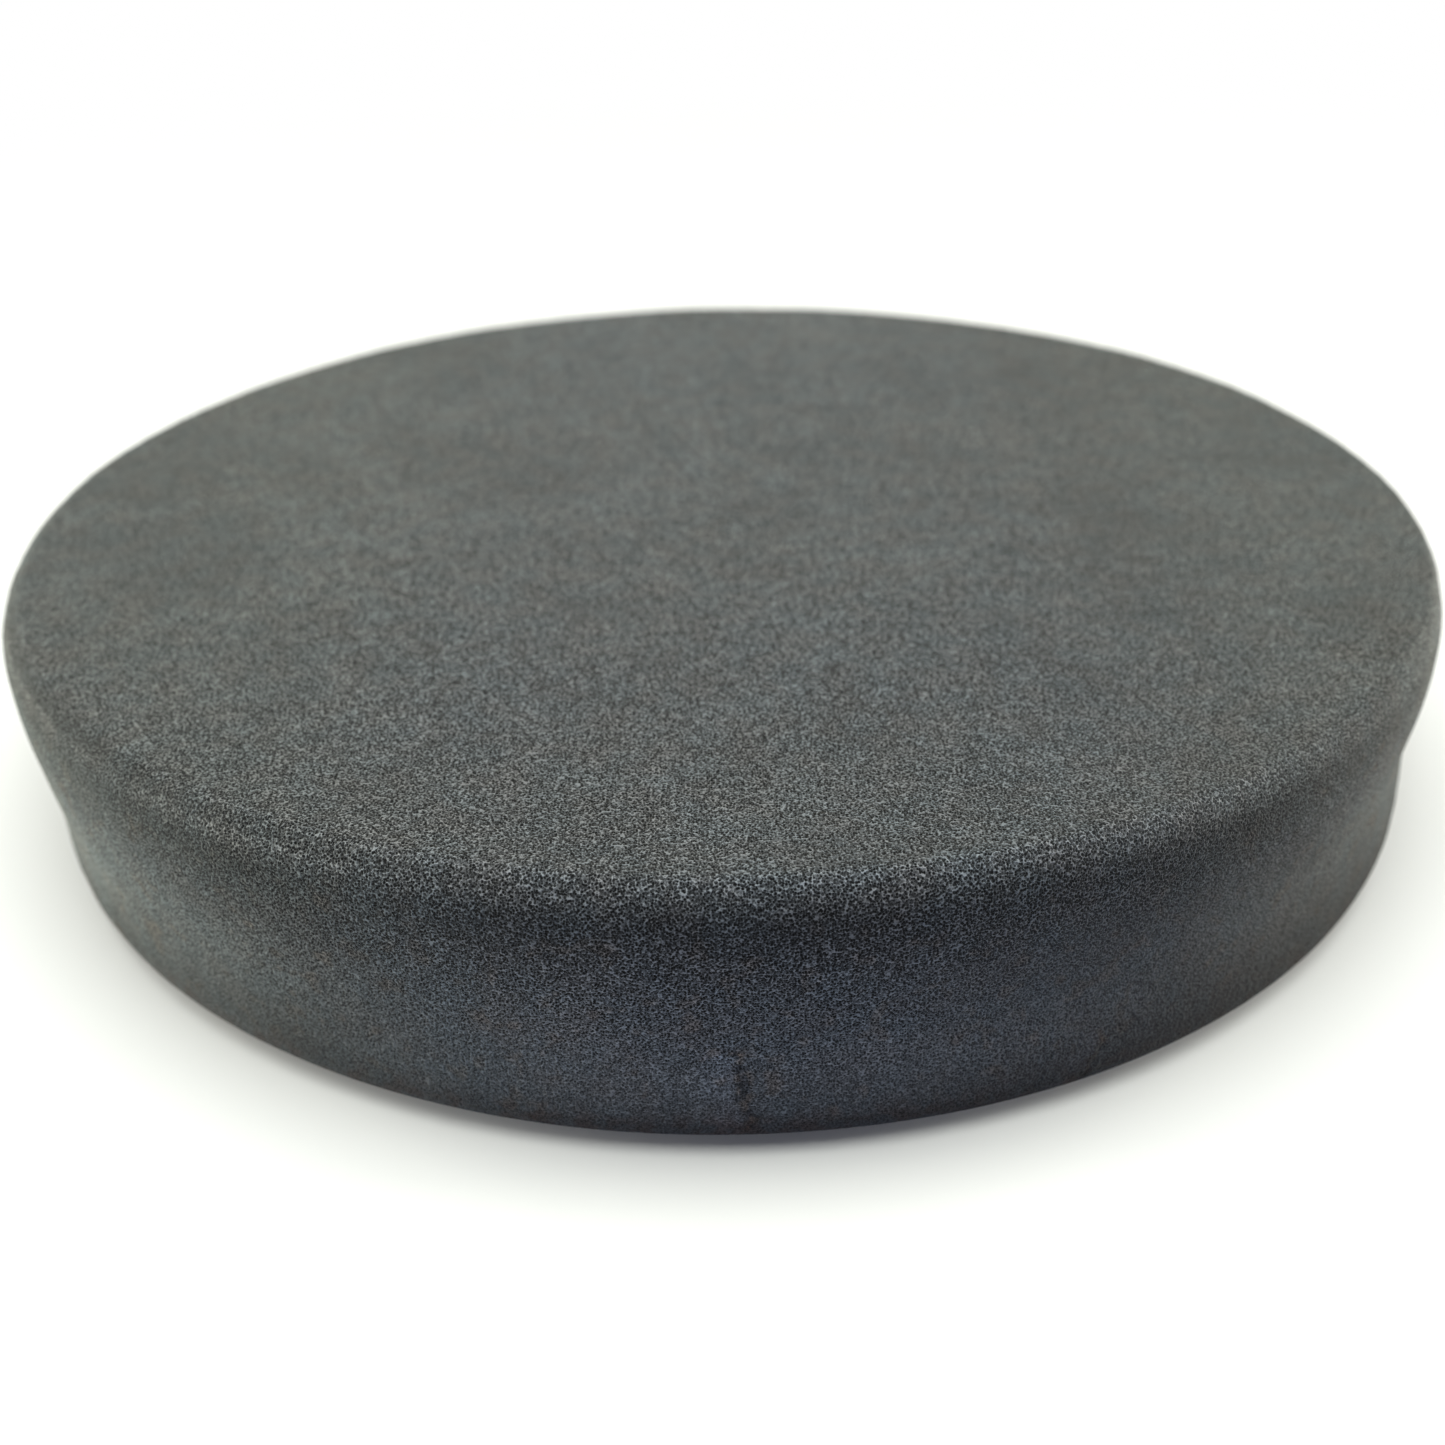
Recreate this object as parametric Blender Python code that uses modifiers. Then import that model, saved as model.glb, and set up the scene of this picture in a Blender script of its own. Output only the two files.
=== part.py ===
"""Round foam polishing pad with a loop backing, lying on its loops.

Units are metres and +Z is up. The origin is the centre of the pad's underside,
where it meets a backing plate, and the flat working face is the top.

The pad is a bonded stack. From the bottom: the loop pile, the knitted cloth that
holds the loops, the hot-melt film that bonds the cloth, and the foam disc.
"""
import math

import bpy

# The stack, from the bottom up.
PILE_HEIGHT = 0.0006
CLOTH_THICKNESS = 0.0003
FILM_THICKNESS = 0.0002
LAYER_GAP = 0.0003
FOAM_THICKNESS = 0.0260

# Radii of the backing. The loops stop short of the cloth's heat-cut rim.
CLOTH_RADIUS = 0.0700
FILM_RADIUS = 0.0698
PILE_RADIUS = 0.0696

# The foam's outline: a rounded shoulder over a waist that the die cut pulls in.
FOAM_RADIUS = 0.0750
SHOULDER_WIDTH = 0.0021
SHOULDER_HEIGHT = 0.0040
WAIST_RADIUS = 0.0733
WAIST_ABOVE_FOAM_BOTTOM = 0.0060
TUCK_WIDTH = 0.0012
TUCK_HEIGHT = 0.0029

# How finely the round shapes are divided.
TURN_STEPS = 96
SHOULDER_STEPS = 6
WAIST_STEPS = 8
TUCK_STEPS = 4

RIM_BEVEL = 0.00008
RIM_BEVEL_SEGMENTS = 1
MERGE_DISTANCE = 0.00001
SMOOTH_ANGLE = math.radians(30)

# Heights that follow from the stack.
CLOTH_BOTTOM = PILE_HEIGHT + LAYER_GAP
FILM_BOTTOM = CLOTH_BOTTOM + CLOTH_THICKNESS + LAYER_GAP
FOAM_BOTTOM = FILM_BOTTOM + FILM_THICKNESS + LAYER_GAP
PAD_HEIGHT = FOAM_BOTTOM + FOAM_THICKNESS


def clear_scene():
    for old in list(bpy.data.objects):
        bpy.data.objects.remove(old, do_unlink=True)


def pad_collection():
    collection = bpy.data.collections.new("polishing_pad")
    bpy.context.scene.collection.children.link(collection)
    return collection


def plain_material(name, colour, roughness):
    material = bpy.data.materials.new(name)
    material.use_nodes = True
    shader = material.node_tree.nodes["Principled BSDF"]
    shader.inputs["Base Color"].default_value = (*colour, 1.0)
    shader.inputs["Roughness"].default_value = roughness
    shader.inputs["Metallic"].default_value = 0.0
    return material


def shade_round(piece):
    piece.data.shade_smooth()
    piece.data.set_sharp_from_angle(angle=SMOOTH_ANGLE)


def shoulder_outline():
    """Quarter ellipse from the edge of the working face down to the widest ring."""
    points = []
    for step in range(SHOULDER_STEPS + 1):
        turn = step / SHOULDER_STEPS * math.pi / 2
        radius = FOAM_RADIUS - SHOULDER_WIDTH * (1 - math.sin(turn))
        height = PAD_HEIGHT - SHOULDER_HEIGHT * (1 - math.cos(turn))
        points.append((radius, height))
    return points


def waist_outline():
    """Half cosine wave that eases the wall in from the widest ring to the waist."""
    start = PAD_HEIGHT - SHOULDER_HEIGHT
    end = FOAM_BOTTOM + WAIST_ABOVE_FOAM_BOTTOM
    pull = FOAM_RADIUS - WAIST_RADIUS
    points = []
    for step in range(1, WAIST_STEPS + 1):
        share = step / WAIST_STEPS
        radius = WAIST_RADIUS + pull * (1 + math.cos(math.pi * share)) / 2
        points.append((radius, start + (end - start) * share))
    return points


def tuck_outline():
    """Quarter ellipse that turns the wall under to the glued face."""
    points = []
    for step in range(TUCK_STEPS + 1):
        turn = step / TUCK_STEPS * math.pi / 2
        radius = WAIST_RADIUS - TUCK_WIDTH * (1 - math.cos(turn))
        height = FOAM_BOTTOM + TUCK_HEIGHT * (1 - math.sin(turn))
        points.append((radius, height))
    return points


def foam_outline():
    """Half section of the foam disc, from the top's centre round to the bottom's."""
    wall = shoulder_outline() + waist_outline() + tuck_outline()
    return [(0.0, PAD_HEIGHT)] + wall + [(0.0, FOAM_BOTTOM)]


def turned_piece(name, outline, collection):
    """Turns a half section in the XZ plane about the Z axis."""
    corners = [(radius, 0.0, height) for radius, height in outline]
    edges = [(i, i + 1) for i in range(len(corners) - 1)]
    mesh = bpy.data.meshes.new(name)
    mesh.from_pydata(corners, edges, [])
    piece = bpy.data.objects.new(name, mesh)
    collection.objects.link(piece)

    screw = piece.modifiers.new("turn", "SCREW")
    screw.axis = "Z"
    screw.angle = math.tau
    screw.steps = TURN_STEPS
    screw.render_steps = TURN_STEPS
    screw.use_merge_vertices = True
    screw.merge_threshold = MERGE_DISTANCE

    bpy.context.view_layer.objects.active = piece
    bpy.ops.object.modifier_apply(modifier=screw.name)
    shade_round(piece)
    return piece


def flat_layer(name, radius, bottom, thickness, collection):
    """Thin round sheet with its two rims just broken."""
    bpy.ops.mesh.primitive_cylinder_add(
        vertices=TURN_STEPS,
        radius=radius,
        depth=thickness,
        location=(0.0, 0.0, bottom + thickness / 2),
    )
    piece = bpy.context.active_object
    piece.name = name
    for owner in list(piece.users_collection):
        owner.objects.unlink(piece)
    collection.objects.link(piece)

    bevel = piece.modifiers.new("rim", "BEVEL")
    bevel.width = RIM_BEVEL
    bevel.segments = RIM_BEVEL_SEGMENTS
    bevel.limit_method = "ANGLE"
    bevel.angle_limit = math.radians(60)
    shade_round(piece)
    return piece


def build_foam_disc(collection):
    piece = turned_piece("foam_disc", foam_outline(), collection)
    piece.data.materials.append(plain_material("dark_grey_foam", (0.125, 0.134, 0.132), 0.95))


def build_adhesive_film(collection):
    piece = flat_layer("adhesive_film", FILM_RADIUS, FILM_BOTTOM, FILM_THICKNESS, collection)
    piece.data.materials.append(plain_material("hot_melt", (0.30, 0.29, 0.25), 0.45))


def build_backing_cloth(collection):
    piece = flat_layer("backing_cloth", CLOTH_RADIUS, CLOTH_BOTTOM, CLOTH_THICKNESS, collection)
    piece.data.materials.append(plain_material("knitted_ground", (0.028, 0.029, 0.032), 0.85))


def build_loop_pile(collection):
    piece = flat_layer("loop_pile", PILE_RADIUS, 0.0, PILE_HEIGHT, collection)
    piece.data.materials.append(plain_material("nylon_loops", (0.040, 0.041, 0.045), 0.75))


def build_pad():
    clear_scene()
    collection = pad_collection()
    build_loop_pile(collection)
    build_backing_cloth(collection)
    build_adhesive_film(collection)
    build_foam_disc(collection)


build_pad()
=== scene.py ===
import math
import random

import bpy
import numpy as np
from mathutils import Matrix, Vector, noise


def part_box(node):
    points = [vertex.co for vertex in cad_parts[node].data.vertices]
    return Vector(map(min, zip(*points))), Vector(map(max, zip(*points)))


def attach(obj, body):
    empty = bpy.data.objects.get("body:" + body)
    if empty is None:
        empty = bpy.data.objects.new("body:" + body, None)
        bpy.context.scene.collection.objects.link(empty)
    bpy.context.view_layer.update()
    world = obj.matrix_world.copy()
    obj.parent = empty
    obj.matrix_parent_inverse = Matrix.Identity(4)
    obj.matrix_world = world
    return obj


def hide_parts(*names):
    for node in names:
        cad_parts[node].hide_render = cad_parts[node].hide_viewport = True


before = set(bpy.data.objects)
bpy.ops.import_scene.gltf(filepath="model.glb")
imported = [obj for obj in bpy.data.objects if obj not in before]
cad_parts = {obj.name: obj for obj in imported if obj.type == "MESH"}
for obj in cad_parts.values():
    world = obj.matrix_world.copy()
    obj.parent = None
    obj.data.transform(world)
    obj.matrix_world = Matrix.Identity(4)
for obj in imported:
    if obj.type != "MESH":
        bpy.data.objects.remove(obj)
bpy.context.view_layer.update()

# Looks of the foam polishing pad. Metres, +Z up, working face up, camera on the -Y side.
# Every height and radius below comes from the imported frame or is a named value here.

FOAM_LOW, FOAM_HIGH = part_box("foam_disc")
CLOTH_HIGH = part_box("backing_cloth")[1]
FILM_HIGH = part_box("adhesive_film")[1]
PILE_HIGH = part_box("loop_pile")[1]

MM = 0.001

# The foam's outline, close to the frame's: shoulder, waist and tuck under the wall.
FOAM_RADIUS = FOAM_HIGH.x
FOAM_TOP = FOAM_HIGH.z
FOAM_BOTTOM = FOAM_LOW.z
SHOULDER_WIDTH = 2.0 * MM
SHOULDER_SPREAD = 0.85 * MM        # widest on the left of the front, narrowest opposite
SPREAD_TURN = math.radians(-150)
SHOULDER_HEIGHT = 4.0 * MM
WAIST_PULL = 1.76 * MM
WAIST_SWAY = 0.20 * MM             # the waist is deepest at the front
SWAY_TURN = math.radians(-90)
WAIST_HEIGHT = 6.0 * MM
WAIST_TILT = 3.0 * MM              # the waist lies higher towards +X than towards -X
TUCK_WIDTH = 1.2 * MM
TUCK_HEIGHT = 2.9 * MM
LID_SHARE = 0.93                   # radius of the flat lid in the glued face, as a share of its own

# The cut leans a little: the working face sits towards -X of the glued face.
CUT_LEAN = 0.030
LEAN_HEIGHT = 14.2 * MM

# How finely the foam is divided: squares along its grid, and rings down its wall.
FOAM_GRID = 224
SHOULDER_RINGS = 10
WALL_RINGS = 27
TUCK_RINGS = 5

# Unevenness of the foam, as (size, depth) of each wave.
FOAM_WAVES = ((26 * MM, 0.16 * MM), (8 * MM, 0.07 * MM), (2.6 * MM, 0.045 * MM))
FIRM_HEIGHT = 2.5 * MM             # the waves fade out over this height above the glue

# The foam's cells, and how the eye reaches into them.
CELL_SIZE = 0.20 * MM
CELL_RANDOMNESS = 0.9
STRUT_START = 0.46
STRUT_FULL = 0.80
SIGHT_STEPS = 4
SIGHT_STEP = 0.065 * MM
FIRST_SIGHT = 0.3                  # the first look, as a share of a step below the surface
# Painted shade inside the open cells: deeper struts are drawn dimmer over this depth.
FADE_DEPTH = 0.14 * MM
LUMP_SIZE = 0.60 * MM
LUMP_SHARE = 2.2                   # depth of the lumps, as a share of the struts'
FOAM_BUMP = 0.10 * MM
# The pits are drawn near black, as painted shade inside the open cells.
PIT_COLOUR = (0.0026, 0.0028, 0.0030)
STRUT_COLOUR = (0.390, 0.402, 0.416)
MEAN_LIGHT = 0.21                  # what wear smears the network of struts to

# Painted sheen and shade of the foam, by the cosine between line of sight and surface: palest at
# grazing sight, darker in between, back to full where the surface faces the eye.
SIGHT_SHEEN_AND_SHADE = (
    (0.0, 1.22), (0.12, 1.0), (0.28, 0.66), (0.36, 0.74), (0.44, 0.66),
    (0.52, 0.60), (0.60, 0.70), (0.75, 0.96), (1.0, 1.0),
)
# Painted shade of the foam, dark at the foot and darkest in a band under the shoulder, and the contrast
# of its network, both by share of the way up the wall.
HEIGHT_SHADE = (
    (0.0, 0.32), (0.08, 0.40), (0.24, 0.62), (0.50, 0.62),
    (0.72, 0.57), (0.88, 0.21), (0.96, 0.62), (1.0, 0.90),
)
HEIGHT_CONTRAST = ((0.0, 0.36), (0.40, 0.40), (0.66, 0.56), (0.84, 0.64), (0.95, 0.50), (1.0, 0.62))
STEEPEST_CONTRAST = 2.4

# Where the foam's masks fade in, from 0 at the first value to 1 at the second. A pair of spans
# fades in and out again. The HIGH_ spans are shares of the way up the wall, the others distances.
FRONT_MIDDLE = 5 * MM
OFF_MIDDLE_FRONT = (48 * MM, 24 * MM)
OFF_MIDDLE_ASIDE = (20 * MM, 60 * MM)
OFF_MIDDLE_BESIDE = (18 * MM, 45 * MM)
Y_NEAR_FACE = (0.0, -55 * MM)
Y_NEAR_WALL = (0.0, -40 * MM)
Y_NEAR_LEFT = (0.0, -25 * MM)
Y_CREASED = (-50 * MM, -60 * MM)
X_TO_LEFT = (-5 * MM, -35 * MM)
X_TO_RIGHT = (5 * MM, 35 * MM)
X_FAR_RIGHT = (38 * MM, 56 * MM)
HIGH_WALL = (0.96, 0.84)
HIGH_RUSTY = (0.96, 0.80)
HIGH_FOOT = (0.16, 0.02)
HIGH_RIGHT_FOOT = (0.45, 0.08)
HIGH_UNDER_SHOULDER = ((0.70, 0.84), (0.975, 0.94))
HIGH_SHOULDER = ((0.94, 0.965), (0.998, 0.985))
HIGH_FAR_RIGHT = ((0.52, 0.74), (0.99, 0.94))
HIGH_RIGHT_RING = ((0.50, 0.80), (1.0, 0.92))

# How far wear smears the network of struts: at the foot, low on the right, and towards each side.
WEAR_FOOT = 0.52
WEAR_LOW_RIGHT = 0.45
WEAR_RIGHT = 0.26
WEAR_LEFT = 0.20

# Stains of the foam, and painted light and shade: sizes of their noise, then tints that multiply the
# colour.
PATCH_SIZE = 9 * MM
BLOT_SIZE = 4 * MM
WIDE_SIZE = 30 * MM
SPECKLE_SIZE = 1.6 * MM
RUST_SIZE = 2.1 * MM
NEUTRAL = (1.0, 1.0, 1.0)
WARM_BLOT = (1.01, 0.985, 0.955)
COOL_BLOT = (0.95, 1.01, 1.02)
WARM_WIDE = (1.01, 0.998, 0.985)
COOL_WIDE = (0.99, 1.003, 1.01)
# Painted blue cast of the front light on the front of the foam.
BLUE_LIGHT_NEAR = (0.985, 1.0, 1.03)
RUST = (1.10, 0.97, 0.88)
BROWN_FRINGE = (0.98, 0.74, 0.66)
# Painted blue cast of the front light on the front wall.
BLUE_LIGHT_ON_WALL = (0.945, 0.98, 1.055)
# Painted light on the sides, most under the shoulder and far right, and painted shade on the left.
SIDE_LIGHT = (1.09, 1.09, 1.04)
LIGHT_UNDER_SHOULDER = (1.32, 1.32, 1.28)
LIGHT_FAR_RIGHT = (1.18, 1.18, 1.20)
SHADE_LEFT_SHOULDER = (0.66, 0.67, 0.66)
SHADE_LEFT_WALL = (0.91, 0.965, 0.95)
# Painted shade on the right, at the foot and under the shoulder.
SHADE_RIGHT_FOOT = (0.58, 0.56, 0.56)
SHADE_RIGHT_RING = (0.90, 0.90, 0.91)

# Two creases in the front wall: X at the lower end, slant, heights of both ends, half width.
CREASES = (
    (1.3 * MM, -0.07, 2.0 * MM, 11.0 * MM, 0.62 * MM),
    (28.8 * MM, 0.50, 3.0 * MM, 7.0 * MM, 0.42 * MM),
)
CREASE_WANDER = 3.6 * MM
CREASE_WANDER_SIZE = 1.7 * MM
CREASE_BLOTCH_SIZE = 1.2 * MM
CREASE_DEPTH = -2.0                # as a share of the struts' depth
# Painted shade in dark blotches along the creases, brown between them, and a painted highlight on the
# strip beside them.
CREASE_SHADE = (0.38, 0.38, 0.40)
BROWN_CREASE = (1.12, 0.92, 0.78)
CREASE_HIGHLIGHT = (1.26, 1.26, 1.30)

# Hot-melt glue.
CLEAR_GLUE = (0.14, 0.135, 0.115)
MILKY_GLUE = (0.27, 0.26, 0.225)
GLUE_GRIME = (0.45, 0.43, 0.40)

# Knitted ground cloth: distances between its wales and between its courses, and its colours.
STITCH_WALE = 0.9 * MM
STITCH_COURSE = 0.6 * MM
GROUND_DARK = (0.010, 0.010, 0.012)
GROUND_PALE = (0.050, 0.052, 0.058)

# Brushed loops: distances between rows and between the loops of one row, and their colours.
WALE_PITCH = 1.25 * MM
COURSE_PITCH = 2.6 * MM
YARN_DARK = (0.006, 0.006, 0.007)
YARN_PALE = (0.082, 0.084, 0.092)
CLEAN_PATCH = (0.78, 0.78, 0.80)
DUSTY_PATCH = (1.18, 1.15, 1.10)


# ---------------------------------------------------------------- node helpers

def add_node(tree, kind, settings=None, inputs=None):
    """Adds a shader node. An input is a value or another node's output socket."""
    node = tree.nodes.new(kind)
    for name, value in (settings or {}).items():
        setattr(node, name, value)
    for key, value in (inputs or {}).items():
        if isinstance(value, bpy.types.NodeSocket):
            tree.links.new(value, node.inputs[key])
        else:
            node.inputs[key].default_value = value
    return node


def maths(tree, operation, a, b=0.0, c=0.0):
    return add_node(tree, "ShaderNodeMath", {"operation": operation}, {0: a, 1: b, 2: c}).outputs[0]


def remap(tree, value, low, high, to_low=0.0, to_high=1.0, smooth=True):
    """Maps low..high onto to_low..to_high and clamps it."""
    kind = "SMOOTHSTEP" if smooth else "LINEAR"
    inputs = {"Value": value, "From Min": low, "From Max": high, "To Min": to_low, "To Max": to_high}
    node = add_node(tree, "ShaderNodeMapRange", {"interpolation_type": kind}, inputs)
    return node.outputs["Result"]


def both(tree, a, b):
    """1 only where both masks are 1."""
    return maths(tree, "MULTIPLY", a, b)


def either(tree, a, b):
    """The greater of two masks."""
    return maths(tree, "MAXIMUM", a, b)


def fade(tree, value, span):
    """Mask that goes from 0 to 1 as value goes from the span's first number to its second."""
    return remap(tree, value, span[0], span[1])


def band(tree, value, spans):
    """Mask that fades in over the first span and out again over the second."""
    return both(tree, fade(tree, value, spans[0]), fade(tree, value, spans[1]))


def mix_colour(tree, share, a, b, blend="MIX"):
    settings = {"data_type": "RGBA", "blend_type": blend}
    node = add_node(tree, "ShaderNodeMix", settings)
    for index, value in ((0, share), (6, a), (7, b)):
        if isinstance(value, bpy.types.NodeSocket):
            tree.links.new(value, node.inputs[index])
        elif index == 0:
            node.inputs[index].default_value = value
        else:
            node.inputs[index].default_value = (*value, 1.0)
    return node.outputs[2]


def split_axes(tree, place):
    """X, Y and Z of a place."""
    return add_node(tree, "ShaderNodeSeparateXYZ", None, {"Vector": place}).outputs


def vector_maths(tree, operation, inputs):
    return add_node(tree, "ShaderNodeVectorMath", {"operation": operation}, inputs).outputs


def noise_value(tree, place, size, detail=2.0, roughness=0.5):
    """Smooth noise, 0 to 1, whose blobs are about size metres across."""
    inputs = {"Vector": place, "Scale": 1.0 / size, "Detail": detail, "Roughness": roughness}
    return add_node(tree, "ShaderNodeTexNoise", None, inputs).outputs["Fac"]


def new_material(name):
    material = bpy.data.materials.new(name)
    material.use_nodes = True
    tree = material.node_tree
    shader = tree.nodes["Principled BSDF"]
    place = add_node(tree, "ShaderNodeTexCoord").outputs["Object"]
    return material, tree, shader, place


# ------------------------------------------------------------------- materials

def grey(tree, value):
    channels = {0: value, 1: value, 2: value}
    return add_node(tree, "ShaderNodeCombineColor", None, channels).outputs["Color"]


def times(tree, colour, tone):
    return mix_colour(tree, 1.0, colour, tone, "MULTIPLY")


def tint(tree, colour, share, a, b):
    """Multiplies colour by a tint that goes from a to b as share goes from 0 to 1."""
    return times(tree, colour, mix_colour(tree, share, a, b))


def stain_and_light(tree, colour, mask, tone):
    """Multiplies colour by a tone where the mask is 1, for stains and for painted light and shade."""
    return tint(tree, colour, mask, NEUTRAL, tone)


def ramp(tree, value, stops):
    """Grey tone that follows value, 0 to 1, through a few stops of (place, tone)."""
    node = add_node(tree, "ShaderNodeValToRGB", None, {"Fac": value})
    bar = node.color_ramp
    bar.interpolation = "B_SPLINE"
    while len(bar.elements) < len(stops):
        bar.elements.new(1.0)
    for stop, (place, tone) in zip(bar.elements, stops):
        stop.position = place
        stop.color = (tone, tone, tone, 1.0)
    return node.outputs["Color"]


def bump(tree, shader, height, distance, strength=1.0):
    inputs = {"Strength": strength, "Distance": distance, "Height": height}
    node = add_node(tree, "ShaderNodeBump", None, inputs)
    tree.links.new(node.outputs["Normal"], shader.inputs["Normal"])


def set_finish(shader, roughness, specular, sheen=0.0, sheen_roughness=0.5):
    shader.inputs["Roughness"].default_value = roughness
    shader.inputs["Specular IOR Level"].default_value = specular
    shader.inputs["Sheen Weight"].default_value = sheen
    shader.inputs["Sheen Roughness"].default_value = sheen_roughness


def strut_here(tree, place):
    """Whether a point lies in a strut of the foam's network: 0 in a cell, 1 in a strut."""
    inputs = {"Vector": place, "Scale": 1.0 / CELL_SIZE, "Randomness": CELL_RANDOMNESS}
    cells = add_node(tree, "ShaderNodeTexVoronoi", None, inputs)
    return remap(tree, cells.outputs["Distance"], STRUT_START, STRUT_FULL, smooth=False)


def line_of_sight(tree):
    """Direction from the eye into the foam, in the piece's own axes, and its cosine to the surface."""
    shape = add_node(tree, "ShaderNodeNewGeometry")
    away = vector_maths(tree, "SCALE", {0: shape.outputs["Incoming"], "Scale": -1.0})[0]
    settings = {"vector_type": "VECTOR", "convert_from": "WORLD", "convert_to": "OBJECT"}
    into = add_node(tree, "ShaderNodeVectorTransform", settings, {0: away}).outputs[0]
    inputs = {0: shape.outputs["Incoming"], 1: shape.outputs["True Normal"]}
    slope = vector_maths(tree, "DOT_PRODUCT", inputs)["Value"]
    return into, maths(tree, "ABSOLUTE", slope)


def struts_in_sight(tree, place, into, slope):
    """Brightest strut along the line of sight. Painted shade: a strut is drawn dimmer the deeper it
    lies.
    """
    seen = None
    for step in range(SIGHT_STEPS):
        path = (step + FIRST_SIGHT) * SIGHT_STEP
        spot = vector_maths(tree, "MULTIPLY_ADD", {0: into, 1: (path, path, path), 2: place})[0]
        dim = maths(tree, "POWER", math.exp(-path / FADE_DEPTH), slope)
        light = maths(tree, "MULTIPLY", strut_here(tree, spot), dim)
        seen = light if seen is None else either(tree, seen, light)
    return seen


def crease_masks(tree, axes, wander, crease):
    """The line of one crease and the strip on its left that gets a painted highlight."""
    x_low, slant, low, high, half = crease
    middle = maths(tree, "MULTIPLY_ADD", maths(tree, "SUBTRACT", axes["Z"], low), slant, x_low)
    middle = maths(tree, "MULTIPLY_ADD", wander, CREASE_WANDER, middle)
    off = maths(tree, "SUBTRACT", axes["X"], middle)
    ends = ((low - 1.0 * MM, low), (high + 1.5 * MM, high))
    along = both(tree, band(tree, axes["Z"], ends), fade(tree, axes["Y"], Y_CREASED))
    line = fade(tree, maths(tree, "ABSOLUTE", off), (1.8 * half, 0.0))
    strip = band(tree, off, ((-6.0 * half, -2.5 * half), (-0.8 * half, -2.0 * half)))
    return both(tree, line, along), both(tree, strip, along)


def creases(tree, place, axes):
    """Masks of the creases: dark blotches of painted shade, brown ones between them, and the strip
    beside them for a painted highlight.
    """
    wander = maths(tree, "SUBTRACT", noise_value(tree, place, CREASE_WANDER_SIZE), 0.5)
    first, second = (crease_masks(tree, axes, wander, crease) for crease in CREASES)
    line = either(tree, first[0], second[0])
    blotch = remap(tree, noise_value(tree, place, CREASE_BLOTCH_SIZE, 1.0), 0.44, 0.56)
    dark = both(tree, line, blotch)
    return dark, maths(tree, "SUBTRACT", line, dark), either(tree, first[1], second[1])


def wear(tree, axes, height):
    """How far polish and wear have smeared the network: at the foot, low on the right, at the sides."""
    foot = remap(tree, height, 0.0, 0.58, WEAR_FOOT, 0.0)
    right = remap(tree, axes["X"], 5 * MM, 32 * MM, 0.0, WEAR_LOW_RIGHT)
    low_right = both(tree, right, remap(tree, height, 0.60, 0.90, 1.0, 0.0))
    side = maths(
        tree, "ADD",
        remap(tree, axes["X"], 12 * MM, 46 * MM, 0.0, WEAR_RIGHT),
        remap(tree, axes["X"], -30 * MM, -65 * MM, 0.0, WEAR_LEFT),
    )
    return either(tree, either(tree, foot, low_right), side)


def foam_colour(tree, place, axes, height):
    """Network of struts over dark cells, the cells and deeper struts darkened as painted shade. It is
    clearest on the shoulder and smeared low on the wall. Painted sheen and shade by angle of sight and
    by height then scale its colour.
    """
    into, slope = line_of_sight(tree)
    seen = struts_in_sight(tree, place, into, slope)
    contrast = maths(tree, "MULTIPLY", ramp(tree, height, HEIGHT_CONTRAST), STEEPEST_CONTRAST)
    lit = maths(tree, "POWER", seen, contrast)
    smear = wear(tree, axes, height)
    lit = maths(tree, "MULTIPLY_ADD", maths(tree, "SUBTRACT", MEAN_LIGHT, lit), smear, lit)
    colour = mix_colour(tree, lit, PIT_COLOUR, STRUT_COLOUR)
    # Painted sheen and shade by the angle of sight.
    colour = times(tree, colour, ramp(tree, slope, SIGHT_SHEEN_AND_SHADE))
    # Painted shade by height: dark at the foot, darkest in a band under the shoulder.
    return times(tree, colour, ramp(tree, height, HEIGHT_SHADE))


def off_middle(tree, axes):
    """Distance from the middle of the front, either way along X."""
    return maths(tree, "ABSOLUTE", maths(tree, "SUBTRACT", axes["X"], FRONT_MIDDLE))


def patches(tree, colour, place):
    """Patches paler or darker, warmer or cooler."""
    tone = noise_value(tree, place, PATCH_SIZE, 3.0, 0.6)
    tone = remap(tree, tone, 0.25, 0.75, 0.92, 1.08, smooth=False)
    colour = times(tree, colour, grey(tree, tone))
    blot = remap(tree, noise_value(tree, place, BLOT_SIZE), 0.3, 0.7)
    colour = tint(tree, colour, blot, WARM_BLOT, COOL_BLOT)
    wide = remap(tree, noise_value(tree, place, WIDE_SIZE, 1.0), 0.35, 0.65)
    return tint(tree, colour, wide, WARM_WIDE, COOL_WIDE)


def foam_stains_and_blue_light(tree, colour, place, axes, height):
    """Patches, specks of rust and a brown fringe at the foot, with a painted blue cast of the front
    light on the front and on the front wall.
    """
    colour = patches(tree, colour, place)
    front = fade(tree, off_middle(tree, axes), OFF_MIDDLE_FRONT)
    near = both(tree, fade(tree, axes["Y"], Y_NEAR_FACE), front)
    # Painted blue cast of the front light on the front.
    colour = stain_and_light(tree, colour, near, BLUE_LIGHT_NEAR)
    rust = remap(tree, noise_value(tree, place, RUST_SIZE), 0.56, 0.70)
    rust = both(tree, rust, fade(tree, height, HIGH_RUSTY))
    colour = stain_and_light(tree, colour, rust, RUST)
    speckle = remap(tree, noise_value(tree, place, SPECKLE_SIZE), 0.42, 0.62)
    colour = stain_and_light(tree, colour, both(tree, fade(tree, height, HIGH_FOOT), speckle), BROWN_FRINGE)
    # Painted blue cast of the front light on the front wall.
    front_wall = both(tree, fade(tree, height, HIGH_WALL), fade(tree, axes["Y"], Y_NEAR_WALL))
    return stain_and_light(tree, colour, both(tree, front_wall, front), BLUE_LIGHT_ON_WALL)


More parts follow.
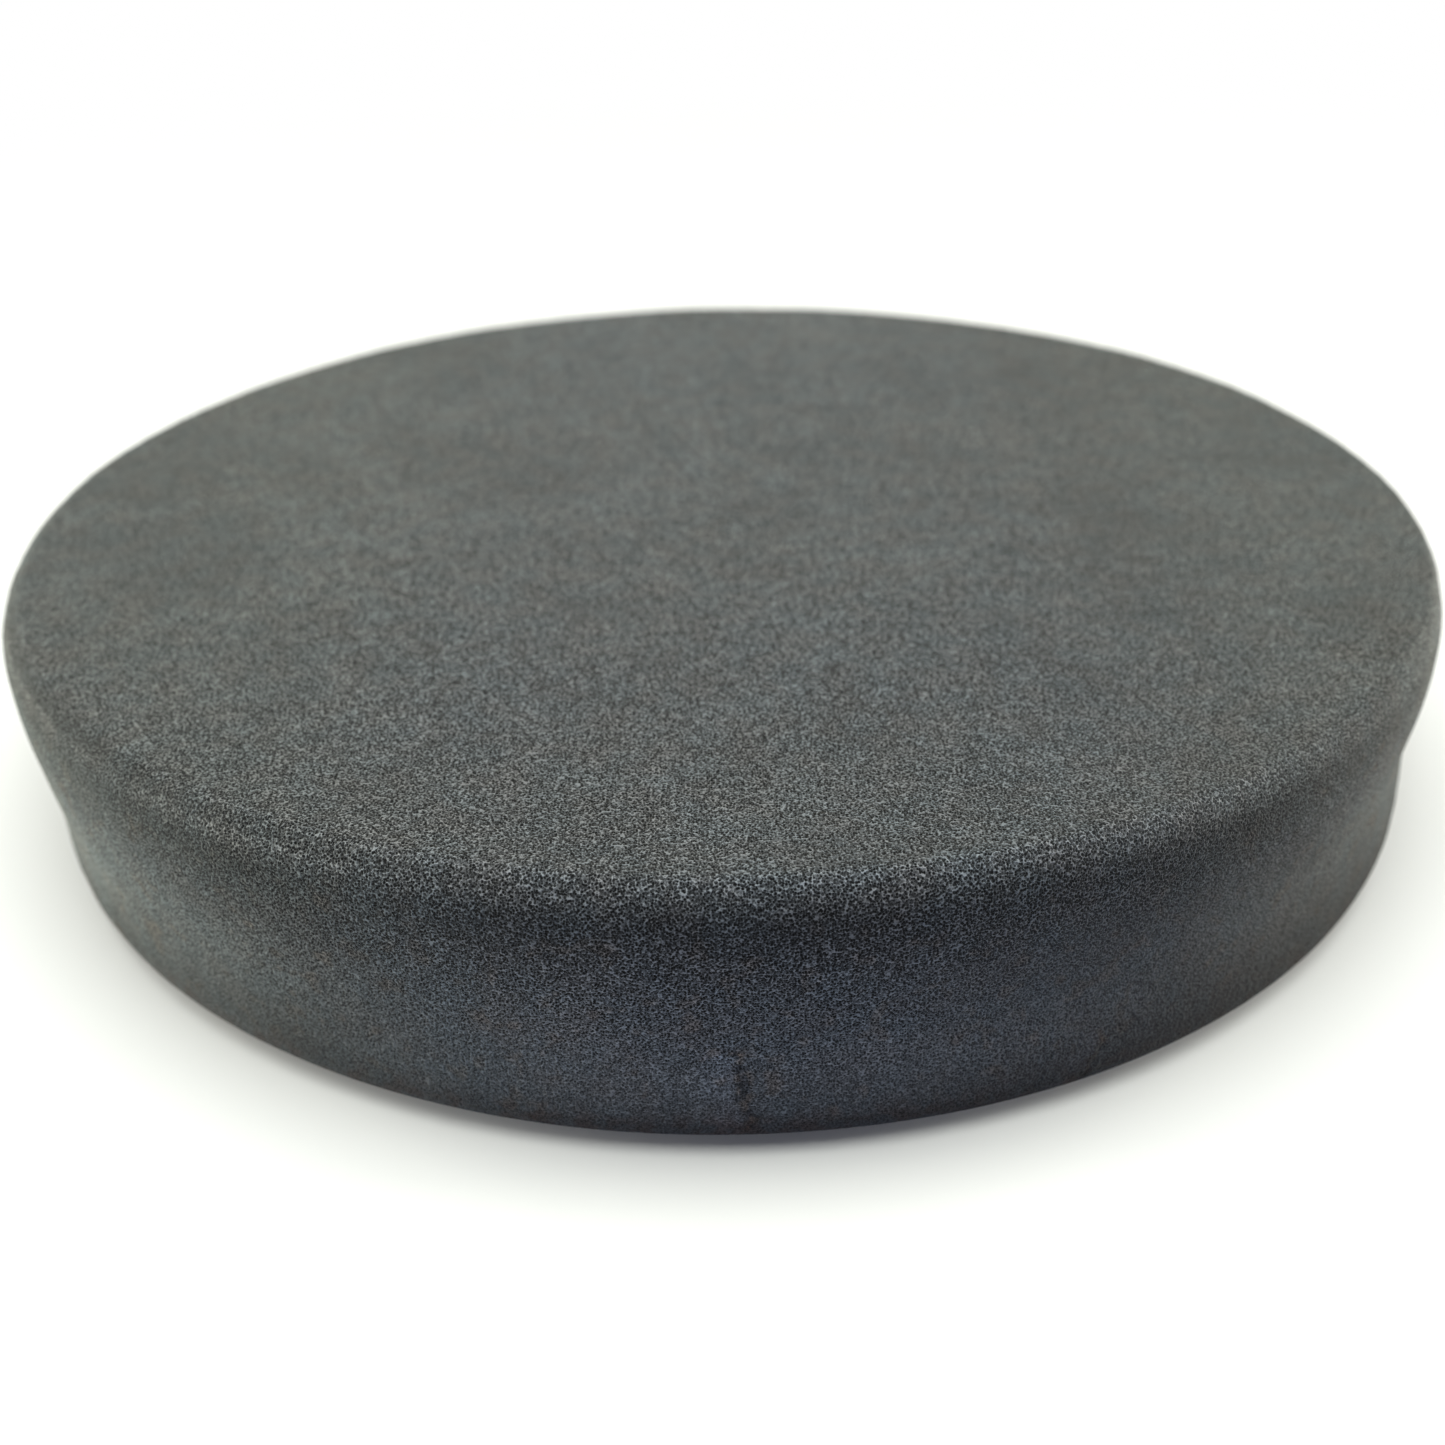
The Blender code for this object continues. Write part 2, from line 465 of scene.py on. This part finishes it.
def side_light_and_shade(tree, colour, axes, height):
    """Painted light: both sides are warmer and paler, most under the shoulder, and the far right paler.
    Painted shade: the left is darker, most on its shoulder.
    """
    off = off_middle(tree, axes)
    colour = stain_and_light(tree, colour, fade(tree, off, OFF_MIDDLE_ASIDE), SIDE_LIGHT)
    beside = both(tree, band(tree, height, HIGH_UNDER_SHOULDER), fade(tree, off, OFF_MIDDLE_BESIDE))
    colour = stain_and_light(tree, colour, beside, LIGHT_UNDER_SHOULDER)
    far_right = both(tree, band(tree, height, HIGH_FAR_RIGHT), fade(tree, axes["X"], X_FAR_RIGHT))
    colour = stain_and_light(tree, colour, far_right, LIGHT_FAR_RIGHT)
    left = both(tree, fade(tree, axes["X"], X_TO_LEFT), fade(tree, axes["Y"], Y_NEAR_LEFT))
    shoulder = both(tree, band(tree, height, HIGH_SHOULDER), left)
    colour = stain_and_light(tree, colour, shoulder, SHADE_LEFT_SHOULDER)
    return stain_and_light(tree, colour, both(tree, fade(tree, height, HIGH_WALL), left), SHADE_LEFT_WALL)


def shade_on_right(tree, colour, axes, height):
    """Painted shade: the right of the wall is darker at its foot and under its shoulder."""
    to_right = fade(tree, axes["X"], X_TO_RIGHT)
    foot = both(tree, fade(tree, height, HIGH_RIGHT_FOOT), to_right)
    colour = stain_and_light(tree, colour, foot, SHADE_RIGHT_FOOT)
    ring = both(tree, band(tree, height, HIGH_RIGHT_RING), to_right)
    return stain_and_light(tree, colour, ring, SHADE_RIGHT_RING)


def foam_material():
    material, tree, shader, place = new_material("open_cell_foam")
    axes = split_axes(tree, place)
    height = remap(tree, axes["Z"], FOAM_BOTTOM, FOAM_TOP, smooth=False)
    colour = foam_colour(tree, place, axes, height)
    colour = foam_stains_and_blue_light(tree, colour, place, axes, height)
    colour = side_light_and_shade(tree, colour, axes, height)
    colour = shade_on_right(tree, colour, axes, height)
    dark, brown, pale = creases(tree, place, axes)
    # Painted shade in the creases, brown between its blotches, and a painted highlight beside them.
    colour = stain_and_light(tree, colour, dark, CREASE_SHADE)
    colour = stain_and_light(tree, colour, brown, BROWN_CREASE)
    colour = stain_and_light(tree, colour, pale, CREASE_HIGHLIGHT)
    tree.links.new(colour, shader.inputs["Base Color"])
    lumps = maths(tree, "MULTIPLY", noise_value(tree, place, LUMP_SIZE, 1.0), LUMP_SHARE)
    relief = maths(tree, "ADD", strut_here(tree, place), lumps)
    relief = maths(tree, "MULTIPLY_ADD", dark, CREASE_DEPTH, relief)
    bump(tree, shader, relief, FOAM_BUMP, 0.9)
    set_finish(shader, 0.92, 0.15, sheen=0.05, sheen_roughness=0.45)
    return material


def hot_melt_material():
    """Milky adhesive film, clearer where it is thin."""
    material, tree, shader, place = new_material("hot_melt_film")
    cloud = remap(tree, noise_value(tree, place, 2.2 * MM, 3.0), 0.35, 0.70)
    colour = mix_colour(tree, cloud, CLEAR_GLUE, MILKY_GLUE)
    grime = remap(tree, noise_value(tree, place, 0.7 * MM), 0.55, 0.75)
    tree.links.new(stain_and_light(tree, colour, grime, GLUE_GRIME), shader.inputs["Base Color"])
    tree.links.new(remap(tree, cloud, 0.0, 1.0, 0.28, 0.48), shader.inputs["Roughness"])
    shader.inputs["Subsurface Weight"].default_value = 0.15
    shader.inputs["Subsurface Scale"].default_value = 0.4 * MM
    bump(tree, shader, noise_value(tree, place, 0.35 * MM, 3.0), 0.05 * MM)
    return material


def rib(tree, along, pitch):
    """Rounded ribs across a direction, 0 in the grooves and 1 on the crests."""
    return maths(tree, "ABSOLUTE", maths(tree, "SINE", maths(tree, "MULTIPLY", along, math.pi / pitch)))


def fused_rim(tree, axes):
    """1 on the cloth's rim, which the heat of the cut has fused."""
    flat = add_node(tree, "ShaderNodeCombineXYZ", None, {0: axes["X"], 1: axes["Y"]}).outputs[0]
    far = vector_maths(tree, "LENGTH", {0: flat})["Value"]
    return remap(tree, far, CLOTH_HIGH.x - 0.8 * MM, CLOTH_HIGH.x - 0.2 * MM)


def knit_material():
    """Warp knit: wales of stitches one way, courses the other, and a glossy fused rim."""
    material, tree, shader, place = new_material("warp_knit_ground")
    axes = split_axes(tree, place)
    sway = maths(tree, "MULTIPLY_ADD", noise_value(tree, place, 2.0 * MM), 0.5 * MM, axes["X"])
    stitch = maths(tree, "MULTIPLY", rib(tree, sway, STITCH_WALE), rib(tree, axes["Y"], STITCH_COURSE))
    fibre = noise_value(tree, place, 0.12 * MM, 3.0)
    height = maths(tree, "MULTIPLY_ADD", fibre, 0.35, stitch)
    fused = fused_rim(tree, axes)
    # Painted shade: darker in the grooves between stitches, paler on their crests.
    colour = mix_colour(tree, remap(tree, height, 0.2, 1.2), GROUND_DARK, GROUND_PALE)
    colour = mix_colour(tree, fused, colour, grey(tree, remap(tree, fibre, 0.3, 0.7, 0.012, 0.030)))
    tree.links.new(colour, shader.inputs["Base Color"])
    tree.links.new(remap(tree, fused, 0.0, 1.0, 0.85, 0.34), shader.inputs["Roughness"])
    bump(tree, shader, height, 0.10 * MM)
    shader.inputs["Sheen Weight"].default_value = 0.10
    return material


def strands(tree, place, direction, pitch):
    """Tangled strands of yarn that run mostly one way, 0 between strands and 1 on them."""
    inputs = {
        "Vector": place, "Scale": 0.31 / pitch, "Distortion": 14.0, "Detail": 3.0,
        "Detail Scale": 1.6, "Detail Roughness": 0.6,
    }
    settings = {"wave_type": "BANDS", "bands_direction": direction}
    return add_node(tree, "ShaderNodeTexWave", settings, inputs).outputs["Fac"]


def loop_material():
    """Brushed nylon: a tangle of near-black strands with a faint sheen, dusty in patches."""
    material, tree, shader, place = new_material("brushed_nylon_loops")
    across = strands(tree, place, "X", 0.22 * MM)
    tangle = either(tree, across, strands(tree, place, "DIAGONAL", 0.16 * MM))
    fibre = noise_value(tree, place, 0.05 * MM, 2.0, 0.7)
    axes = split_axes(tree, place)
    wale = rib(tree, maths(tree, "ADD", axes["X"], WALE_PITCH / 2), WALE_PITCH)
    height = maths(tree, "MULTIPLY_ADD", fibre, 0.4, tangle)
    # Painted shade: paler on the strands and towards the loop tips, darker between strands, between
    # rows and deep in the pile.
    colour = mix_colour(tree, remap(tree, height, 0.45, 1.25), YARN_DARK, YARN_PALE)
    reach = remap(tree, axes["Z"], 0.10 * MM, 0.62 * MM, 1.0, 0.0)
    base = maths(tree, "MULTIPLY_ADD", wale, 0.35, 0.22)
    light = maths(tree, "ADD", base, maths(tree, "MULTIPLY", reach, 1.3))
    colour = times(tree, colour, grey(tree, light))
    patch = remap(tree, noise_value(tree, place, 5 * MM, 3.0), 0.35, 0.70)
    colour = tint(tree, colour, patch, CLEAN_PATCH, DUSTY_PATCH)
    tree.links.new(colour, shader.inputs["Base Color"])
    bump(tree, shader, maths(tree, "MULTIPLY_ADD", wale, 1.2, height), 0.16 * MM)
    set_finish(shader, 0.58, 0.35, sheen=0.06, sheen_roughness=0.4)
    return material


# ----------------------------------------------------------------- mesh helpers

def disc_points(count):
    """A square grid drawn onto the unit disc so that its squares keep even areas."""
    steps = np.linspace(-1.0, 1.0, count + 1)
    u, v = np.meshgrid(steps, steps, indexing="xy")
    wide = np.abs(u) > np.abs(v)
    safe_u = np.where(wide, u, 1.0)
    safe_v = np.where(wide | (v == 0), 1.0, v)
    radius = np.where(wide, u, v)
    turn = np.where(wide, math.pi / 4 * v / safe_u, math.pi / 2 - math.pi / 4 * u / safe_v)
    return (radius * np.cos(turn)).ravel(), (radius * np.sin(turn)).ravel()


def grid_border(count):
    """Indices of the grid's border, once round, against the clock."""
    row = count + 1
    near = list(range(count))
    right = [i * row + count for i in range(count)]
    far = [count * row + count - i for i in range(count)]
    left = [(count - i) * row for i in range(count)]
    return np.array(near + right + far + left)


def grid_squares(count):
    row = count + 1
    i, j = np.meshgrid(np.arange(count), np.arange(count), indexing="xy")
    corner = (j * row + i).ravel()
    return np.stack([corner, corner + 1, corner + 1 + row, corner + row], 1)


def disc_solid(name, count, outline, face_down=False):
    """Closed disc: a grid of even squares on one face, rings round the rim and a flat lid.

    outline(turn) lists the (radius, height) of every ring, from the grid's border to the lid's.
    """
    x, y = disc_points(count)
    border = grid_border(count)
    face_radius, face_height = outline(np.arctan2(y, x))[0]
    points = [np.stack([x * face_radius, y * face_radius, np.full(x.size, face_height)], 1)]
    turn = np.arctan2(y[border], x[border])
    rings = outline(turn)[1:]
    for radius, height in rings:
        points.append(np.stack([np.cos(turn) * radius, np.sin(turn) * radius, turn * 0 + height], 1))
    rows = [border]
    for k in range(len(rings)):
        rows.append(x.size + k * border.size + np.arange(border.size))
    squares = [grid_squares(count)]
    for upper, lower in zip(rows[:-1], rows[1:]):
        squares.append(np.stack([upper, lower, np.roll(lower, -1), np.roll(upper, -1)], 1))
    faces = np.concatenate(squares).tolist() + [rows[-1][::-1].tolist()]
    if face_down:
        faces = [face[::-1] for face in faces]
    mesh = bpy.data.meshes.new(name)
    mesh.from_pydata(np.concatenate(points).tolist(), [], faces)
    mesh.update()
    return mesh


def waves(place, sizes):
    return sum(depth * noise.noise(place / size) for size, depth in sizes)


def push_out(mesh, depth_at):
    """Moves each corner of a mesh along its normal by depth_at(corner)."""
    places = np.empty(len(mesh.vertices) * 3)
    normals = np.empty(len(mesh.vertices) * 3)
    mesh.vertices.foreach_get("co", places)
    mesh.vertex_normals.foreach_get("vector", normals)
    depth = np.array([depth_at(Vector(place)) for place in places.reshape(-1, 3)])
    mesh.vertices.foreach_set("co", places + np.repeat(depth, 3) * normals)
    mesh.update()


def add_piece(name, mesh, material, node):
    """Puts a finished mesh in the scene in place of one CAD node."""
    piece = bpy.data.objects.new(name, mesh)
    bpy.context.scene.collection.objects.link(piece)
    mesh.shade_smooth()
    mesh.materials.append(material)
    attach(piece, "root")
    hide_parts(node)
    return piece


# ---------------------------------------------------------------------- pieces

def foam_outline(turn):
    """Rings from the edge of the working face, over the shoulder and the waist, to the glued face."""
    shoulder = SHOULDER_WIDTH + SHOULDER_SPREAD * np.cos(turn - SPREAD_TURN)
    pull = WAIST_PULL + WAIST_SWAY * np.cos(turn - SWAY_TURN)
    rings = []
    for step in range(SHOULDER_RINGS + 1):
        bend = step / SHOULDER_RINGS * math.pi / 2
        radius = FOAM_RADIUS - shoulder * (1 - math.sin(bend))
        rings.append((radius, FOAM_TOP - SHOULDER_HEIGHT * (1 - math.cos(bend))))
    start = FOAM_TOP - SHOULDER_HEIGHT
    end = FOAM_BOTTOM + TUCK_HEIGHT
    waist = FOAM_BOTTOM + WAIST_HEIGHT + WAIST_TILT * np.cos(turn)
    for step in range(1, WALL_RINGS + 1):
        height = start + (end - start) * step / WALL_RINGS
        share = np.minimum(1.0, (start - height) / (start - waist))
        rings.append((FOAM_RADIUS - pull * (1 - np.cos(math.pi * share)) / 2, height))
    for step in range(1, TUCK_RINGS + 1):
        bend = step / TUCK_RINGS * math.pi / 2
        radius = FOAM_RADIUS - pull - TUCK_WIDTH * (1 - math.cos(bend))
        rings.append((radius, FOAM_BOTTOM + TUCK_HEIGHT * (1 - math.sin(bend))))
    rings.append((LID_SHARE * rings[-1][0], FOAM_BOTTOM))
    return rings


def foam_relief(place):
    """How far the foam's surface strays outwards. It is even where it is glued."""
    firm = min(1.0, (place.z - FOAM_BOTTOM) / FIRM_HEIGHT)
    return firm * waves(place, FOAM_WAVES)


def build_foam():
    mesh = disc_solid("foam_body", FOAM_GRID, foam_outline)
    push_out(mesh, foam_relief)
    lean = Matrix.Shear("XY", 4, (-CUT_LEAN, 0.0))
    shift = Matrix.Translation((CUT_LEAN * LEAN_HEIGHT, 0.0, 0.0))
    mesh.transform(shift @ lean)
    return add_piece("foam_body", mesh, foam_material(), "foam_disc")


# Glue that wells out between foam and cloth. Its rim is listed as millimetres out from the film's
# edge and share of the gap's height.
GLUE_GRID = 110
GLUE_LOW = CLOTH_HIGH.z + 0.08 * MM
GLUE_HIGH = FOAM_BOTTOM - 0.10 * MM
GLUE_RIM = (
    (-0.70, 1.0), (-0.25, 1.0), (-0.06, 0.80), (0.0, 0.50),
    (-0.06, 0.20), (-0.25, 0.0), (-0.70, 0.0),
)
GLUE_WANDER = ((7 * MM, 0.45 * MM), (1.6 * MM, 0.30 * MM))


def edge_wander(turn, radius, sizes):
    """How far a cut edge strays outwards, for each turn about the pad's axis."""
    spots = [Vector((math.cos(t) * radius, math.sin(t) * radius, 0.0)) for t in turn.ravel()]
    return np.array([waves(spot, sizes) for spot in spots]).reshape(turn.shape)


def glue_outline(turn):
    edge = FILM_HIGH.x + edge_wander(turn, FILM_HIGH.x, GLUE_WANDER)
    return [(edge + out * MM, GLUE_LOW + share * (GLUE_HIGH - GLUE_LOW)) for out, share in GLUE_RIM]


def build_glue():
    mesh = disc_solid("glue_line", GLUE_GRID, glue_outline)
    return add_piece("glue_line", mesh, hot_melt_material(), "adhesive_film")


# Knitted cloth: a thin sheet with a fused bead round its cut rim, listed as millimetres out from
# the cloth's edge and up from the floor.
CLOTH_GRID = 110
CLOTH_RIM = (
    (-0.90, 0.92), (-0.55, 0.88), (-0.28, 0.80), (-0.06, 0.86),
    (0.06, 0.99), (-0.02, 1.12), (-0.30, 1.17), (-0.90, 1.17),
)
CLOTH_WANDER = ((9 * MM, 0.30 * MM), (1.1 * MM, 0.16 * MM))


def cloth_outline(turn):
    edge = CLOTH_HIGH.x + edge_wander(turn, CLOTH_HIGH.x, CLOTH_WANDER)
    return [(edge + out * MM, height * MM) for out, height in CLOTH_RIM]


def build_cloth():
    mesh = disc_solid("knit_backing", CLOTH_GRID, cloth_outline, face_down=True)
    return add_piece("knit_backing", mesh, knit_material(), "backing_cloth")


# Brushed loops: a matted sheet, its rim listed in the same way, with loops of nylon standing out of it.
MAT_GRID = 70
MAT_RIM = ((-0.55, 0.50), (-0.15, 0.55), (0.0, 0.66), (-0.15, 0.77), (-0.55, 0.80))
MAT_WANDER = ((6 * MM, 0.35 * MM), (0.9 * MM, 0.20 * MM))
MAT_WAVES = ((1.8 * MM, 0.16 * MM), (0.9 * MM, 0.10 * MM))
MAT_RADIUS = PILE_HIGH.x - 0.35 * MM
RIM_LOOP_COUNT = 900
LOOP_STEPS = 5
LOOP_SIDES = 3
LOOP_ROOT = 0.72 * MM
LOOP_TIP = (0.10 * MM, 0.24 * MM)
LOOP_SPAN = (0.6 * MM, 1.6 * MM)
LOOP_LEAN = 0.9 * MM
LOOP_ROUNDNESS = 0.7                # below 1 the loops are blunter than a half sine wave
LOOP_SEED = 7
WALE_STRAY = 0.16 * MM
COURSE_STRAY = 0.45 * MM
RIM_ROW = (0.35 * MM, 1.5 * MM)     # the rim's loops start this far in from the mat's edge
FACE_MARGIN = 1.2 * MM              # and the face's loops keep this far from it
YARN_RADIUS = (0.045 * MM, 0.080 * MM)
ACROSS_LOOPS = Vector((0.31, 0.22, 0.92))   # any direction that hardly a loop runs along


def mat_outline(turn):
    edge = MAT_RADIUS + edge_wander(turn, MAT_RADIUS, MAT_WANDER)
    return [(edge + out * MM, height * MM) for out, height in MAT_RIM]


def loop_places(draw):
    """Rows of loops over the face, every other row half a step on, and a closer row round the rim."""
    places = []
    reach = MAT_RADIUS - FACE_MARGIN
    rows = int(reach / WALE_PITCH)
    for row in range(-rows, rows + 1):
        steps = int(reach / COURSE_PITCH) + 1
        for step in range(-steps, steps + 1):
            x = row * WALE_PITCH + draw.uniform(-WALE_STRAY, WALE_STRAY)
            y = (step + 0.5 * (row % 2)) * COURSE_PITCH + draw.uniform(-COURSE_STRAY, COURSE_STRAY)
            if math.hypot(x, y) < reach:
                places.append((x, y))
    for k in range(RIM_LOOP_COUNT):
        radius = MAT_RADIUS - draw.uniform(*RIM_ROW)
        turn = math.tau * (k + draw.random()) / RIM_LOOP_COUNT
        places.append((radius * math.cos(turn), radius * math.sin(turn)))
    return places


def loop_path(draw, x, y):
    """Points along one loop of yarn, out of the mat and back into it."""
    root = Vector((x, y, 0.0))
    heading = draw.uniform(0, math.tau)
    along = Vector((math.cos(heading), math.sin(heading), 0.0)) * draw.uniform(*LOOP_SPAN) / 2
    lean = Vector((-math.sin(heading), math.cos(heading), 0.0)) * draw.uniform(-1, 1) * LOOP_LEAN
    tip = draw.uniform(*LOOP_TIP)
    points = []
    for step in range(LOOP_STEPS + 1):
        bend = math.pi * step / LOOP_STEPS
        rise = math.sin(bend) ** LOOP_ROUNDNESS if 0 < step < LOOP_STEPS else 0.0
        height = LOOP_ROOT + (tip - LOOP_ROOT) * rise
        points.append(root + along * math.cos(bend) + lean * rise + Vector((0, 0, height)))
    return points


def tube(points, thickness):
    """Corners and faces of a closed tube along a path."""
    corners = []
    for k, point in enumerate(points):
        ahead = points[min(k + 1, len(points) - 1)] - points[max(k - 1, 0)]
        side = ahead.cross(ACROSS_LOOPS).normalized()
        other = ahead.cross(side).normalized()
        for n in range(LOOP_SIDES):
            angle = math.tau * n / LOOP_SIDES
            corners.append(point + (side * math.cos(angle) + other * math.sin(angle)) * thickness)
    faces = []
    for k in range(len(points) - 1):
        for n in range(LOOP_SIDES):
            m = (n + 1) % LOOP_SIDES
            low, high = k * LOOP_SIDES, (k + 1) * LOOP_SIDES
            faces.append((low + n, low + m, high + m, high + n))
    last = (len(points) - 1) * LOOP_SIDES
    faces.append(tuple(range(LOOP_SIDES))[::-1])
    faces.append(tuple(last + n for n in range(LOOP_SIDES)))
    return corners, faces


def build_loops():
    draw = random.Random(LOOP_SEED)
    mat = disc_solid("mat", MAT_GRID, mat_outline, face_down=True)
    push_out(mat, lambda place: waves(place, MAT_WAVES))
    corners = [v.co.copy() for v in mat.vertices]
    faces = [tuple(face.vertices) for face in mat.polygons]
    for x, y in loop_places(draw):
        ring, sides = tube(loop_path(draw, x, y), draw.uniform(*YARN_RADIUS))
        faces += [tuple(len(corners) + k for k in side) for side in sides]
        corners += ring
    mesh = bpy.data.meshes.new("loop_tufts")
    mesh.from_pydata(corners, [], faces)
    mesh.update()
    bpy.data.meshes.remove(mat)
    return add_piece("loop_tufts", mesh, loop_material(), "loop_pile")


foam = build_foam()
build_glue()
build_cloth()
build_loops()


# ------------------------------------------------------------ floor and lights

BACKDROP = (1.0, 1.0, 1.0)         # what the eye sees far away, on the floor and beyond it
SKY_LIGHT = (0.035, 0.042, 0.060)
FLOOR_SIDE = 6.0
FLOOR_DIM = (0.80, 0.80, 0.80)
FLOOR_PALE = (0.84, 0.84, 0.84)
FLOOR_CLOUD_SIZE = 0.15
FLOOR_FADE = (0.12, 0.40)          # distances over which the floor turns into the backdrop
# Painted shade on the floor in front, hidden from the camera: its colour, which way it lies, and where
# it fades in.
FLOOR_SHADE = (0.14, 0.15, 0.18)
SHADE_TURN = math.radians(-62)      # towards the front, a little right
SHADE_START = math.radians(65)
SHADE_FULL = math.radians(25)

# Soft lights: name, place, aim, size, power and colour.
SOFT_LIGHTS = (
    ("overhead", (0.0, -0.10, 0.70), (0.0, 0.0, 0.0), (0.8, 0.8), 7.4, (1.0, 1.03, 0.97)),
    ("left", (-0.75, 0.16, 0.12), (0.0, 0.0, 0.01), (0.6, 0.22), 10.5, (1.0, 0.99, 0.84)),
    ("right", (0.75, 0.24, 0.12), (0.0, 0.0, 0.01), (0.6, 0.22), 10.5, (1.0, 0.98, 0.84)),
    ("front", (-0.05, -0.80, 0.13), (0.0, 0.0, 0.01), (0.4, 0.16), 2.5, (0.82, 0.84, 1.0)),
)


def floor_shade_in_front(tree, place):
    """Mask of the painted shade on the floor in front, which throws little light back at the pad, as
    under a photographer.
    """
    towards = (math.cos(SHADE_TURN), math.sin(SHADE_TURN), 0.0)
    way = vector_maths(tree, "NORMALIZE", {0: place})[0]
    match = vector_maths(tree, "DOT_PRODUCT", {0: way, 1: towards})["Value"]
    return remap(tree, match, math.cos(SHADE_START), math.cos(SHADE_FULL))


def only_camera(tree):
    """1 for rays that come straight from the camera."""
    return add_node(tree, "ShaderNodeLightPath").outputs["Is Camera Ray"]


def floor_material():
    """Pale floor that turns into the white backdrop further out."""
    material, tree, shader, place = new_material("pale_floor")
    pale = mix_colour(tree, noise_value(tree, place, FLOOR_CLOUD_SIZE), FLOOR_DIM, FLOOR_PALE)
    shader.inputs["Roughness"].default_value = 0.9
    to_eye = only_camera(tree)
    # Painted shade on the floor in front, for every ray but the camera's.
    shade = both(tree, floor_shade_in_front(tree, place), maths(tree, "SUBTRACT", 1.0, to_eye))
    tree.links.new(mix_colour(tree, shade, pale, FLOOR_SHADE), shader.inputs["Base Color"])
    far = vector_maths(tree, "LENGTH", {0: place})["Value"]
    share = both(tree, fade(tree, far, FLOOR_FADE), to_eye)
    glow = add_node(tree, "ShaderNodeEmission", None, {"Color": (*BACKDROP, 1.0)})
    inputs = {0: share, 1: shader.outputs[0], 2: glow.outputs[0]}
    mixed = add_node(tree, "ShaderNodeMixShader", None, inputs)
    tree.links.new(mixed.outputs[0], tree.nodes["Material Output"].inputs["Surface"])
    return material


def build_floor():
    bpy.ops.mesh.primitive_plane_add(size=FLOOR_SIDE, location=(0, 0, 0))
    floor = bpy.context.active_object
    floor.name = "floor"
    floor.data.materials.append(floor_material())


def build_world():
    world = bpy.data.worlds.new("studio")
    world.use_nodes = True
    bpy.context.scene.world = world
    tree = world.node_tree
    background = tree.nodes["Background"]
    sky = mix_colour(tree, only_camera(tree), SKY_LIGHT, BACKDROP)
    tree.links.new(sky, background.inputs["Color"])


def soft_light(name, place, target, size, power, colour):
    data = bpy.data.lights.new(name, "AREA")
    data.shape = "RECTANGLE"
    data.size, data.size_y = size
    data.energy = power
    data.color = colour
    lamp = bpy.data.objects.new(name, data)
    bpy.context.scene.collection.objects.link(lamp)
    lamp.location = place
    facing = Vector(target) - Vector(place)
    lamp.rotation_euler = facing.to_track_quat("-Z", "Y").to_euler()


def build_lights():
    for name, place, target, size, power, colour in SOFT_LIGHTS:
        soft_light(name, place, target, size, power, colour)


# ---------------------------------------------------------------------- camera

CAMERA_DISTANCE = 0.215
CAMERA_ELEVATION = math.radians(28.93)
CAMERA_LOOK_DOWN = math.radians(29.06)
CAMERA_ROLL = math.radians(-1.08)
CAMERA_LENS = 46.07
CAMERA_SHIFT = -0.00285
CAMERA_SENSOR = 36.0
CAMERA_CLIP = (0.01, 20.0)
AIM_HEIGHT = 1.2 * MM
FOCUS_DISTANCE = 0.1435
CLOSE_UP_STOP = 22
CLOSE_UP_REACH = 0.24
FAR_STOP = 400
CRISP_FILTER = 1.0                 # pixels: as crisp as a phone leaves its pictures


def build_camera():
    data = bpy.data.cameras.new("camera")
    camera = bpy.data.objects.new("camera", data)
    bpy.context.scene.collection.objects.link(camera)
    bpy.context.scene.camera = camera
    data.lens = CAMERA_LENS
    data.sensor_width = CAMERA_SENSOR
    data.shift_x = CAMERA_SHIFT
    data.clip_start, data.clip_end = CAMERA_CLIP
    look = Vector((0.0, math.cos(CAMERA_LOOK_DOWN), -math.sin(CAMERA_LOOK_DOWN)))
    side = Vector((1.0, 0.0, 0.0))
    up = side.cross(look)
    right = side * math.cos(CAMERA_ROLL) + up * math.sin(CAMERA_ROLL)
    above = up * math.cos(CAMERA_ROLL) - side * math.sin(CAMERA_ROLL)
    turn = Matrix((right, above, -look)).transposed()
    away = CAMERA_DISTANCE * math.cos(CAMERA_ELEVATION)
    above_aim = CAMERA_DISTANCE * math.sin(CAMERA_ELEVATION)
    place = Vector((0.0, -away, above_aim + AIM_HEIGHT))
    camera.matrix_world = Matrix.Translation(place) @ turn.to_4x4()
    return camera


def build_focus(camera, subject):
    """Close-up focus on the near shoulder. Seen from further away, the whole pad is sharp."""
    dof = camera.data.dof
    dof.use_dof = True
    dof.focus_distance = FOCUS_DISTANCE
    driver = dof.driver_add("aperture_fstop").driver
    apart = driver.variables.new()
    apart.name = "apart"
    apart.type = "LOC_DIFF"
    apart.targets[0].id = camera
    apart.targets[1].id = subject
    driver.expression = f"{CLOSE_UP_STOP} if apart < {CLOSE_UP_REACH} else {FAR_STOP}"


build_floor()
build_world()
build_lights()
build_focus(build_camera(), foam)
bpy.context.scene.view_settings.view_transform = "Standard"
bpy.context.scene.cycles.filter_width = CRISP_FILTER
